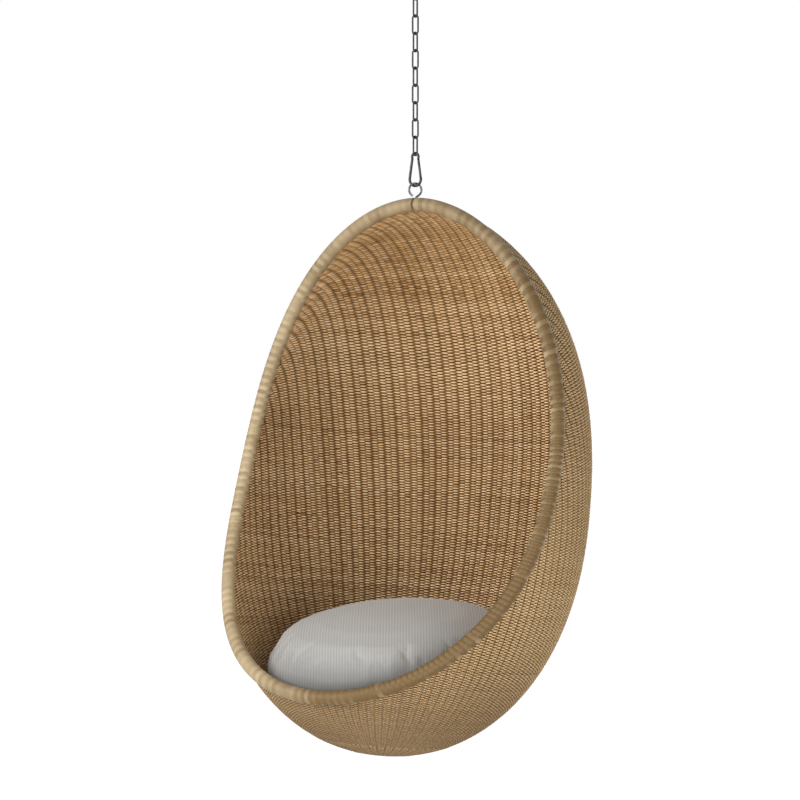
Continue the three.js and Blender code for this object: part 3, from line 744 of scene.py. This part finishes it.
class POD_OT_stakes(bpy.types.Operator):
    """Sets the stakes, the ribs and the coil at the pole that the weavers go round"""
    bl_idname = "podchair.stakes"
    bl_label = "Set the Stakes and Ribs"

    # Distance between two rings of a rod, and how far the stakes of one zone run into the next
    ROD_STEP = 0.012
    # Lengths from the pole at which stakes and ribs start
    STAKE_START, RIB_START = 0.018, 0.02
    # Where the two stakes of a cell stand, in shares of its width from its middle
    STAKE_SPOTS = np.array((-0.2, 0.2))
    # The coil on the pole: turns, rings, first radius, pitch, height and thickness
    COIL_TURNS, COIL_RINGS = 7, 200
    COIL_START, COIL_PITCH, COIL_HEIGHT, COIL_THICKNESS = 0.002997, 0.0045954, 0.002, 0.0056

    def execute(self, context):
        sizes = context.scene.pod_weave
        finder = rim_finder()
        stakes = []
        for cells, first, last in CELL_ZONES:
            spots = (np.arange(cells)[:, None] + 0.5 + self.STAKE_SPOTS).ravel() / cells
            start = max(self.STAKE_START, first - self.ROD_STEP)
            stakes += self.rods((2 * spots - 1) * math.pi, start, last + self.ROD_STEP, finder)
        around = (2 * np.arange(CANE_COUNT) / CANE_COUNT - 1) * math.pi
        ribs = self.rods(around, self.RIB_START, math.inf, finder)
        parts = (
            ("shell_stakes", stakes, sizes.stake, 0, 0.25, PANELS),
            ("shell_ribs", ribs, sizes.rib, 1, 0.34, CANES),
            ("pole_coil", [(self.coil(), False)], self.COIL_THICKNESS, 1, 0.0, ["base_hub"]),
        )
        for name, rods, thickness, roundness, darker, nodes in parts:
            finish = weave_finish(sizes, name, darker)
            chance = np.random.default_rng(5)
            tones = np.concatenate([np.full(len(points), chance.normal(0.5, 0.1)) for points, _ in rods])
            cane_piece(name, rods, tones, thickness, roundness, 64, finish, "cane", nodes)
        return {"FINISHED"}

    def rods(self, azimuths, first, last, finder):
        """Lines of rods between two lengths along their stakes, ending inside the rim."""
        rods = []
        for line in stake_lines(azimuths):
            points = at_runs(line, np.arange(first, min(last, run_along(line)[-1]), self.ROD_STEP))
            clear = [finder.find(point)[2] > RIM_RADIUS / 3 for point in points]
            rods.append((in_frame(points[clear]), False))
        return rods

    def coil(self):
        """Middle line of the coil, laid on the shell round the pole."""
        turn = np.linspace(0, 2 * math.pi * self.COIL_TURNS, self.COIL_RINGS)
        radius = self.COIL_START + self.COIL_PITCH * turn / (2 * math.pi)
        height = np.full(self.COIL_RINGS, self.COIL_HEIGHT)
        return in_frame(onto_shell(np.stack((radius * np.sin(turn), radius * np.cos(turn), height), -1)))


class POD_OT_rim(bpy.types.Operator):
    """Winds the rim with turns of peel"""
    bl_idname = "podchair.rim"
    bl_label = "Wind the Rim"

    # Share of the rim from its top, over the right side: turns' pitch, groove depth, contrast, tone,
    # which is lower on the right and at the bottom as painted shade, and how much painted shade the peel
    # gets outside and in front
    TURNS = np.array((
        (0.00, 0.0110, 0.15, 0.16, 0.45, 0.0),
        (0.04, 0.0110, 0.15, 0.22, 0.38, 0.1),
        (0.08, 0.0110, 0.20, 0.25, 0.45, 0.2),
        (0.12, 0.0115, 0.80, 0.70, 0.48, 0.9),
        (0.19, 0.0110, 1.00, 0.80, 0.48, 1.0),
        (0.22, 0.0065, 0.80, 0.50, 0.52, 1.0),
        (0.30, 0.0070, 0.80, 0.60, 0.40, 1.0),
        (0.34, 0.0120, 1.50, 0.70, 0.18, 0.9),
        (0.44, 0.0130, 1.40, 0.70, 0.12, 0.8),
        (0.48, 0.0080, 0.50, 0.35, 0.16, 0.2),
        (0.54, 0.0120, 0.20, 0.30, 0.55, 0.0),
        (0.60, 0.0100, 0.60, 0.50, 0.60, 0.0),
        (0.70, 0.0090, 1.00, 0.50, 0.62, 0.0),
        (0.85, 0.0090, 0.90, 0.45, 0.56, 0.0),
        (0.93, 0.0100, 0.25, 0.20, 0.50, 0.0),
        (1.00, 0.0110, 0.15, 0.16, 0.45, 0.0),
    ))
    # Half the width of the slit for the eye
    SLIT = 0.0035
    # Tones of the turns: their number, spread and bound, and the step that goes up and down in turn
    TONE_COUNT, TONE_SPREAD, TONE_BOUND, TONE_STEP = 600, 0.3, 0.7, 0.42
    # Share of a turn at which its tone starts to run into the next one's, and the tones' weight
    TONE_BLEND, TONE_GAIN = 0.85, 0.45
    # Where round the pole the peel gets most painted shade, how sharply that ends, and how much deeper
    # its grooves and darker its tone are there
    HANDLED_TURN, HANDLED_POWER, HANDLED_GROOVE, HANDLED_TONE = 0.9, 1.5, 0.5, 0.45
    # How sharply the peel rounds off to its edges, and the least and most that they are marked
    EDGE_POWER, EDGE_BOUNDS = 4, (0.8, 1)

    def execute(self, context):
        sizes = context.scene.pod_rim
        whole = run_along(RIM_LOOP)[-1]
        count = int((whole - 2 * self.SLIT) / sizes.station)
        runs = np.linspace(self.SLIT, whole - self.SLIT, count)
        points = in_frame(at_runs(RIM_LOOP, runs))
        mesh = tube_mesh("rim_wrap", [(points, False)], 2 * RIM_RADIUS, 8)
        sides = len(mesh.vertices) // count
        spoke = corners_of(mesh).reshape(count, sides, 3) - points[:, None]
        spoke /= np.linalg.norm(spoke, axis=-1, keepdims=True)
        turn = self.turn_of(points, spoke)
        pitch, groove, contrast, shade, outer = [
            np.interp(runs / whole, self.TURNS[:, 0], column)[:, None] for column in self.TURNS.T[1:]]
        turns_run = np.concatenate(([0], np.cumsum(np.diff(runs) / pitch[1:, 0])))
        phase = turns_run[:, None] - turn / (2 * math.pi)
        number = np.floor(phase)
        edge = np.abs(2 * (phase - number) - 1)
        tone = self.tone_of(number + turn / (2 * math.pi) + 0.5)
        # Painted shade on the outer, front side of the peel; the grooves there are also cut deeper
        facing = np.clip(np.cos(turn - self.HANDLED_TURN), 0, 1) ** self.HANDLED_POWER * outer
        depth = sizes.groove * (groove + facing * self.HANDLED_GROOVE) * edge ** self.EDGE_POWER
        places = points[:, None] + spoke * (RIM_RADIUS - depth)[..., None]
        mesh.vertices.foreach_set("co", places.ravel())
        # The tone column and the painted shade set the peel's tone
        tone = tone * contrast * self.TONE_GAIN + shade - facing * self.HANDLED_TONE
        carry(mesh, "tone", tone.ravel())
        carry(mesh, "edge", (edge * np.clip(groove, *self.EDGE_BOUNDS)).ravel())
        tube_chart(mesh, [(points, False)], sides, 240)
        self.close_ends(mesh)
        seat(add_mesh("rim_wrap", mesh, self.finish(sizes)), "chair", "peel", *BINDINGS)
        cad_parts["rim_hoop"].data.materials[0] = self.pole(sizes)
        return {"FINISHED"}

    def turn_of(self, points, spoke):
        """Angle of each spoke round the pole, from the egg's outward side."""
        spoke = spoke @ LEAN
        points = in_egg(points)
        out = normals_at(points)
        along = np.gradient(points, axis=0)
        along /= np.linalg.norm(along, axis=-1, keepdims=True)
        across = np.cross(along, out)
        return np.arctan2((spoke * across[:, None]).sum(-1), (spoke * out[:, None]).sum(-1))

    def tone_of(self, strip):
        """Tone by the number of the turn of peel, counted in shares."""
        chance = np.random.default_rng(3)
        table = chance.normal(0, self.TONE_SPREAD, self.TONE_COUNT)
        table = np.clip(table, -self.TONE_BOUND, self.TONE_BOUND)
        table[::2] += self.TONE_STEP
        table[1::2] -= self.TONE_STEP
        whole = np.floor(strip)
        first = whole.astype(int) % self.TONE_COUNT
        second = (first + 1) % self.TONE_COUNT
        blend = np.clip((strip - whole - self.TONE_BLEND) / (1 - self.TONE_BLEND), 0, 1)
        return table[first] * (1 - blend) + table[second] * blend

    def close_ends(self, mesh):
        """Closes both ends of the wrap at the slit for the eye."""
        with shaped(mesh) as shape:
            edges = [edge for edge in shape.edges if edge.is_boundary]
            bmesh.ops.holes_fill(shape, edges=edges, sides=0)

    def finish(self, sizes):
        """Peel: pale and dark turns with fine fibres and a soft shine."""
        recipe = Recipe("wound_peel")
        fibre = recipe.noise(520, 3)
        stain = recipe.noise(14, 3)
        tone = recipe.value("tone") + (fibre - 0.5) * 0.25 + (stain - 0.5) * 0.5
        peel = recipe.mix(recipe.step(tone, 0.05, 0.95), sizes.dark, sizes.light)
        peel = recipe.mix(recipe.step(recipe.value("edge"), 0.82, 1.0) * 0.75, peel, sizes.seam)
        return recipe.finish(peel, 0.42 + stain * 0.2, recipe.bump(fibre, 0.2, 0.0004), 0.32)

    def pole(self, sizes):
        """The bare pole inside the wrap."""
        recipe = Recipe("bare_pole")
        grain = recipe.noise(60, 4)
        wood = recipe.mix(grain, sizes.seam, sizes.dark)
        return recipe.finish(wood, 0.6 + grain * 0.15, recipe.bump(grain, 0.3, 0.0006))


class POD_OT_cushion(bpy.types.Operator):
    """Sews and fills the seat cushion"""
    bl_idname = "podchair.cushion"
    bl_label = "Fill the Cushion"

    # Size of the unfilled cloth against the solid's, across and in height
    UNFILLED = (1.02, 1.02, 0.93)
    PRESSURE, FRAMES = 4, 20
    # The cushion rises to the back at this slope, and its edge passes the middle of the chair here
    SLOPE = math.tan(math.radians(7.5))
    EDGE_LEVEL = -1.545
    # The front under the edge is in shade: height of that skirt, and how far forward it starts
    SKIRT = 0.13
    FRONT = (0.04, 0.28)
    # The ribs of the cloth run this way across the chair
    RIB_TURN = math.radians(-35)

    def execute(self, context):
        scene = context.scene
        sizes = scene.pod_cushion
        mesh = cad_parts["seat_cushion"].data.copy()
        low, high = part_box("seat_cushion")
        about = Matrix.Translation((Vector(low) + Vector(high)) / -2)
        with shaped(mesh) as shape:
            bmesh.ops.remove_doubles(shape, verts=shape.verts, dist=1e-5)
            bmesh.ops.scale(shape, verts=shape.verts, vec=self.UNFILLED, space=about)
            bmesh.ops.recalc_face_normals(shape, faces=shape.faces)
        made = add_mesh("seat_pad", mesh, self.finish(sizes))
        remesh = made.modifiers.new("Even Faces", "REMESH")
        remesh.mode = "VOXEL"
        remesh.voxel_size = sizes.voxel
        self.apply(made)
        self.inflate(scene, made, sizes.swell)
        finer = made.modifiers.new("Finer", "SUBSURF")
        finer.levels = finer.render_levels = 1
        self.apply(made)
        made.data.shade_smooth()
        seat(made, "cushion", "cushion_cloth", "seat_cushion")
        return {"FINISHED"}

    def apply(self, made):
        """Turns a piece into the mesh that its modifiers give."""
        graph = bpy.context.evaluated_depsgraph_get()
        mesh = bpy.data.meshes.new_from_object(made.evaluated_get(graph))
        made.modifiers.clear()
        made.data = mesh

    def inflate(self, scene, made, swell):
        """Cloth under pressure, so that the crown is full and the edge draws in."""
        before = corners_of(made.data)
        cloth = made.modifiers.new("Cloth", "CLOTH")
        cloth.settings.use_pressure = True
        cloth.settings.uniform_pressure_force = self.PRESSURE
        cloth.settings.effector_weights.gravity = 0
        cloth.point_cache.frame_start = 1
        cloth.point_cache.frame_end = self.FRAMES
        for number in range(1, self.FRAMES + 1):
            scene.frame_set(number)
        self.apply(made)
        scene.frame_set(1)
        shift = corners_of(made.data) - before
        reach = np.linalg.norm(shift, axis=1, keepdims=True)
        shift *= np.minimum(1, swell / np.maximum(reach, 1e-9))
        made.data.vertices.foreach_set("co", (before + shift).ravel())

    def finish(self, sizes):
        """Pale grey cloth with fine ribs."""
        recipe = Recipe("ribbed_cloth")
        place = recipe.place()
        sockets = {"Vector": place, "Rotation": (0, 0, self.RIB_TURN)}
        across = recipe.axes("X", recipe.node("ShaderNodeMapping", None, sockets))[0]
        ribs = across.maths("SINE", across * (2 * math.pi / sizes.rib_pitch)) * 0.5 + 0.5
        thread = recipe.noise(900, 2)
        worn = recipe.noise(7, 3)
        shade = ribs * 0.45 + thread * 0.5 + (worn - 0.5) * 0.3
        cloth = recipe.mix(recipe.step(shade, 0.0, 1.1), sizes.dark, sizes.light)
        x, y, z = recipe.axes("XYZ", place)
        skirt = 1 - recipe.step(z - y * self.SLOPE, self.EDGE_LEVEL, self.EDGE_LEVEL + self.SKIRT)
        front = recipe.step(x * 0.6 - y * 0.8, *self.FRONT)
        cloth = recipe.mix(skirt * front * 0.85, cloth, darkened(sizes.dark, 0.3))
        normal = recipe.bump(ribs * 0.7 + thread * 0.3, 0.5, 0.0008)
        return recipe.finish(cloth, 0.86 + thread * 0.1, normal, 0.2, {"Sheen Weight": 0.25})


def softened(points):
    """An open line with its corners cut, so that straight and bent parts run into each other."""
    for _ in range(3):
        near = points[:-1] * 0.75 + points[1:] * 0.25
        far = points[:-1] * 0.25 + points[1:] * 0.75
        inner = np.stack((near, far), 1).reshape(-1, 3)
        points = np.concatenate((points[:1], inner[1:-1], points[-1:]))
    return points


def arc(centre, radius, start, end, steps):
    """Points of an arc in the XZ plane."""
    angle = np.linspace(start, end, steps + 1)
    return np.stack((centre[0] + radius * np.cos(angle), np.full(steps + 1, centre[1]),
                     centre[2] + radius * np.sin(angle)), -1)


def steel_finish(name, shade, rough):
    """Worn steel: duller and darker in patches."""
    recipe = Recipe(name)
    patch = recipe.noise(140, 4, 0.6)
    metal = recipe.mix(recipe.step(patch, 0.35, 0.75), shade, darkened(shade, 0.45))
    normal = recipe.bump(recipe.noise(1600, 2), 0.15, 0.0002)
    return recipe.finish(metal, rough + patch * 0.22, normal, others={"Metallic": 1.0})


class POD_OT_metal(bpy.types.Operator):
    """Bends the chain, the snap hook, the eye and the ceiling hook"""
    bl_idname = "podchair.metal"
    bl_label = "Bend the Metalwork"

    # Chain: height of the first link's upper bow, pitch, bow radius, and from bow to bow
    LINK_COUNT, LINK_TOP, LINK_PITCH, LINK_BOW, LINK_REACH = 10, -0.0372, 0.0383, 0.00725, 0.0426
    # Snap hook: its top, its length, the radii of its wide bow and its neck, and where that ends
    SNAP_TOP, SNAP_REACH, SNAP_BOW, SNAP_NECK = -0.4192, 0.073, 0.015, 0.0085
    SHOULDER = math.radians(-22)
    # Gate: its wire, and how far its ends stay off the hook's
    GATE_WIRE, GATE_FOOT, GATE_HEAD = 0.0054, 0.0003, 0.0005
    # Eye: height of its middle over the rim, its ring, and its shank's bend into the ring
    EYE_RISE, EYE_RADIUS = 0.0173, 0.0145
    EYE_TURN, EYE_START, EYE_SWEEP = math.radians(54), math.radians(-58), math.radians(302)
    SHANK_DEPTH, BEND_DROP, BEND_RUN, BEND_SIDE = 0.012, 0.00125, 0.005, 0.0025
    # Ceiling hook: its bend, and heights along its shank
    HOOK_RADIUS, HOOK_BOTTOM, HOOK_SWEEP = 0.0135, -0.043, math.radians(290)
    HOOK_SHANK = (-0.0018, -0.004, -0.010)

    def execute(self, context):
        sizes = context.scene.pod_metal
        dark = steel_finish("dark_steel", sizes.dark, 0.3)
        bright = steel_finish("bright_steel", sizes.bright, 0.18)
        for k in range(self.LINK_COUNT):
            line = self.link()
            if k % 2:
                line = line[:, (1, 0, 2)] * (-1, 1, 1)
            line = line + (0, 0, self.LINK_TOP - k * self.LINK_PITCH)
            name = f"link_{k + 1:02d}"
            self.piece(f"steel_{name}", line, sizes.link_wire, dark, name, f"chain_{name}", closed=True)
        self.snap_hook(sizes, dark, bright)
        self.eye(sizes, bright)
        self.ceiling(sizes, dark)
        return {"FINISHED"}

    def piece(self, name, line, thickness, finish, body, node, slot="dark_steel", closed=False):
        """A bent wire, with capped ends if it is open."""
        mesh = tube_mesh(name, [(line, closed)], thickness, 5, not closed)
        if not closed:
            with shaped(mesh) as shape:
                bmesh.ops.remove_doubles(shape, verts=shape.verts, dist=MERGE)
        seat(add_mesh(name, mesh, finish), body, slot, node)

    def link(self):
        """One chain link about its upper bow, in the XZ plane."""
        top = arc((0, 0, -self.LINK_BOW), self.LINK_BOW, 0, math.pi, 16)
        low = arc((0, 0, self.LINK_BOW - self.LINK_REACH), self.LINK_BOW, math.pi, 2 * math.pi, 16)
        return np.concatenate((top, low))

    def snap_hook(self, sizes, dark, bright):
        """The hook's bent body, its gate and its pin."""
        high = np.array((0, 0, self.SNAP_TOP - self.SNAP_NECK))
        low = np.array((0, 0, self.SNAP_TOP - self.SNAP_REACH + self.SNAP_BOW))
        shoulder = arc(high, self.SNAP_NECK, self.SHOULDER, self.SHOULDER, 1)[0]
        lift = shoulder - low
        nose = math.atan2(lift[2], lift[0]) - math.acos(self.SNAP_BOW / np.linalg.norm(lift))
        wide = arc(low, self.SNAP_BOW, nose, -math.pi - nose, 40)
        neck = arc(high, self.SNAP_NECK, math.pi - self.SHOULDER, self.SHOULDER, 28)
        body = np.concatenate((wide, neck))
        self.piece("snap_hook_bow", body, sizes.snap_wire, dark, "snap_hook", "snap_hook_body")
        foot, head = wide[0], neck[-1]
        up = (head - foot) / np.linalg.norm(head - foot)
        gate = np.linspace(foot + up * self.GATE_FOOT, head - up * self.GATE_HEAD, 5)
        self.piece("snap_hook_latch", gate, self.GATE_WIRE, dark, "snap_gate", "snap_hook_gate")
        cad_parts["snap_hook_pin"].data.materials[0] = bright

    def eye(self, sizes, bright):
        """The ring above the rim and the shank through it."""
        top = RIM_TOP_HEIGHT
        middle = top + RIM_RADIUS + self.EYE_RISE
        ring = arc((0, 0, middle), self.EYE_RADIUS, self.EYE_START, self.EYE_START + self.EYE_SWEEP, 48)
        bend = middle - self.EYE_RADIUS - self.BEND_DROP
        heights = (top - self.SHANK_DEPTH, top, bend - self.BEND_RUN)
        shank = np.array([(0, 0, height) for height in heights] + [(self.BEND_SIDE, 0, bend)])
        line = np.concatenate((softened(np.concatenate((shank, ring[:2]))), ring[2:]))
        line = line @ np.array(Matrix.Rotation(self.EYE_TURN, 3, "Z")).T
        self.piece("rim_eye", line, sizes.eye_wire, bright, "chair", "hanging_eye", "bright_steel")
        for name in ("hanging_nut", "hanging_washer"):
            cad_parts[name].data.materials[0] = bright

    def ceiling(self, sizes, dark):
        """The hook in the ceiling plate."""
        middle = self.HOOK_BOTTOM + self.HOOK_RADIUS
        bow = arc((0, 0, middle), self.HOOK_RADIUS, math.pi / 2, math.pi / 2 + self.HOOK_SWEEP, 40)
        shank = np.array([(0, 0, height) for height in self.HOOK_SHANK])
        line = np.concatenate((softened(np.concatenate((shank, bow[1:4]))), bow[4:]))[:, (1, 0, 2)]
        self.piece("ceiling_bow", line, sizes.hook_wire, dark, "ceiling", "ceiling_hook")
        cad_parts["ceiling_plate"].data.materials[0] = dark


class POD_OT_stage(bpy.types.Operator):
    """Sets the camera, the lamps, the sky and the floor"""
    bl_idname = "podchair.stage"
    bl_label = "Set the Stage"

    # Camera: its direction and distance from its aim, and the width that it sees there
    AZIMUTH, ELEVATION = math.radians(35), math.radians(2.5)
    DISTANCE, FIELD, SENSOR = 5.4, 1.792, 36
    AIM = (0, 0, RIM_TOP_HEIGHT - 0.65)
    AIM_SHIFT = (-0.03405, 0.21408, 0)
    # Lamps: what they face, and how far each is from there to the right, up and to the camera
    CHEST = (0, -0.15, -1.15)
    KEY_PLACE, KEY_SIZE = (-2.8, 1.1, 1.9), 2.4
    FILL_PLACE, FILL_SIZE = (0.5, -0.8, 2.1), 1.6
    # The floor glows at this strength, least under the chair and fully past a radius
    FLOOR_RADIUS, GLOW, LEAST_GLOW, GLOW_REACH = 30, 1.1, 0.6, (0.7, 1.5)

    def execute(self, context):
        scene = context.scene
        sizes = scene.pod_stage
        right = Vector((math.cos(self.AZIMUTH), math.sin(self.AZIMUTH), 0))
        level = math.cos(self.ELEVATION)
        back = Vector((
            math.sin(self.AZIMUTH) * level, -math.cos(self.AZIMUTH) * level, math.sin(self.ELEVATION)))
        turn = Matrix((right, back.cross(right), back)).transposed()
        lens = bpy.data.cameras.new("camera")
        lens.sensor_width = self.SENSOR
        lens.lens = self.SENSOR * self.DISTANCE / self.FIELD
        lens.clip_end = 100
        camera = bpy.data.objects.new("camera", lens)
        place = Vector(self.AIM) + turn @ Vector(self.AIM_SHIFT) + back * self.DISTANCE
        camera.matrix_world = Matrix.Translation(place) @ turn.to_4x4()
        scene.collection.objects.link(camera)
        scene.camera = camera
        for name, place, size, power in (
                ("key_lamp", self.KEY_PLACE, self.KEY_SIZE, sizes.key_power),
                ("fill_lamp", self.FILL_PLACE, self.FILL_SIZE, sizes.fill_power)):
            self.lamp(scene, name, turn @ Vector(place), size, power)
        self.sky(scene, sizes)
        self.floor(sizes)
        scene.view_settings.view_transform = "Standard"
        return {"FINISHED"}

    def lamp(self, scene, name, away, size, power):
        """A square soft lamp that faces the chair, this far away from it."""
        data = bpy.data.lights.new(name, "AREA")
        data.shape = "SQUARE"
        data.size = size
        data.energy = power
        made = bpy.data.objects.new(name, data)
        facing = away.to_track_quat("Z", "Y").to_matrix().to_4x4()
        made.matrix_world = Matrix.Translation(Vector(self.CHEST) + away) @ facing
        scene.collection.objects.link(made)

    def seen(self, recipe):
        """1 where the camera, or a reflection or glass, sees the surface."""
        camera, glossy, through = [
            recipe.node("ShaderNodeLightPath", None, None, name)
            for name in ("Is Camera Ray", "Is Glossy Ray", "Is Transmission Ray")]
        return camera.maths("MINIMUM", camera + glossy + through, 1.0)

    def sky(self, scene, sizes):
        """White behind the chair, and an even pale light on it."""
        world = bpy.data.worlds.new("studio")
        world.use_nodes = True
        scene.world = world
        recipe = Recipe("studio", world.node_tree)
        strength = self.seen(recipe) * (1 - sizes.sky_light) + sizes.sky_light
        light = recipe.node("ShaderNodeBackground", None, {"Color": WHITE, "Strength": strength})
        recipe.node("ShaderNodeOutputWorld", None, {"Surface": light})

    def floor(self, sizes):
        """A wide pale floor that still takes the chair's shadow."""
        mesh = bpy.data.meshes.new("floor")
        place = (0, 0, CAD_BOX[0][2] - sizes.floor_drop)
        with shaped(mesh) as shape:
            bmesh.ops.create_circle(shape, cap_ends=True, segments=96, radius=self.FLOOR_RADIUS)
            bmesh.ops.translate(shape, verts=shape.verts, vec=place)
        recipe = Recipe("pale_floor")
        tone = recipe.mix(recipe.noise(30, 3) * 0.05, sizes.pale, WHITE)
        matte = recipe.node("ShaderNodeBsdfDiffuse", None, {"Color": tone})
        glow = recipe.node("ShaderNodeEmission", None, {"Color": WHITE, "Strength": self.GLOW})
        x, y = recipe.axes("XY")
        far = recipe.step((x * x + y * y) ** 0.5, *self.GLOW_REACH)
        share = self.seen(recipe) * (self.LEAST_GLOW + far * (1 - self.LEAST_GLOW))
        both = recipe.node("ShaderNodeMixShader", None, {0: share, 1: matte, 2: glow})
        recipe.node("ShaderNodeOutputMaterial", None, {"Surface": both})
        add_mesh("floor", mesh, recipe.material)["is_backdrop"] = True


STEPS = (POD_OT_weave, POD_OT_stakes, POD_OT_rim, POD_OT_cushion, POD_OT_metal, POD_OT_stage)


class POD_PT_steps(bpy.types.Panel):
    """The chair's steps and sizes"""
    bl_idname = "POD_PT_steps"
    bl_label = "Pod Chair"
    bl_space_type = "VIEW_3D"
    bl_region_type = "UI"
    bl_category = "Pod Chair"

    def draw(self, context):
        for step in STEPS:
            self.layout.operator(step.bl_idname)
        for name, group in SIZES.items():
            box = self.layout.box()
            for field in group.__annotations__:
                box.prop(getattr(context.scene, name), field)


CLASSES = (*SIZES.values(), *STEPS, POD_PT_steps)


def register():
    for cls in CLASSES:
        bpy.utils.register_class(cls)
    for name, group in SIZES.items():
        setattr(bpy.types.Scene, name, PointerProperty(type=group))


def unregister():
    for name in SIZES:
        delattr(bpy.types.Scene, name)
    for cls in reversed(CLASSES):
        bpy.utils.unregister_class(cls)


def main():
    register()
    bpy.ops.podchair.weave()
    bpy.ops.podchair.stakes()
    bpy.ops.podchair.rim()
    bpy.ops.podchair.cushion()
    bpy.ops.podchair.metal()
    bpy.ops.podchair.stage()
    sizes = {"cad": CAD_BOX, "visual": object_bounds()}
    {name: [[float(v) for v in corner] for corner in box] for name, box in sizes.items()}


if __name__ == "__main__":
    main()
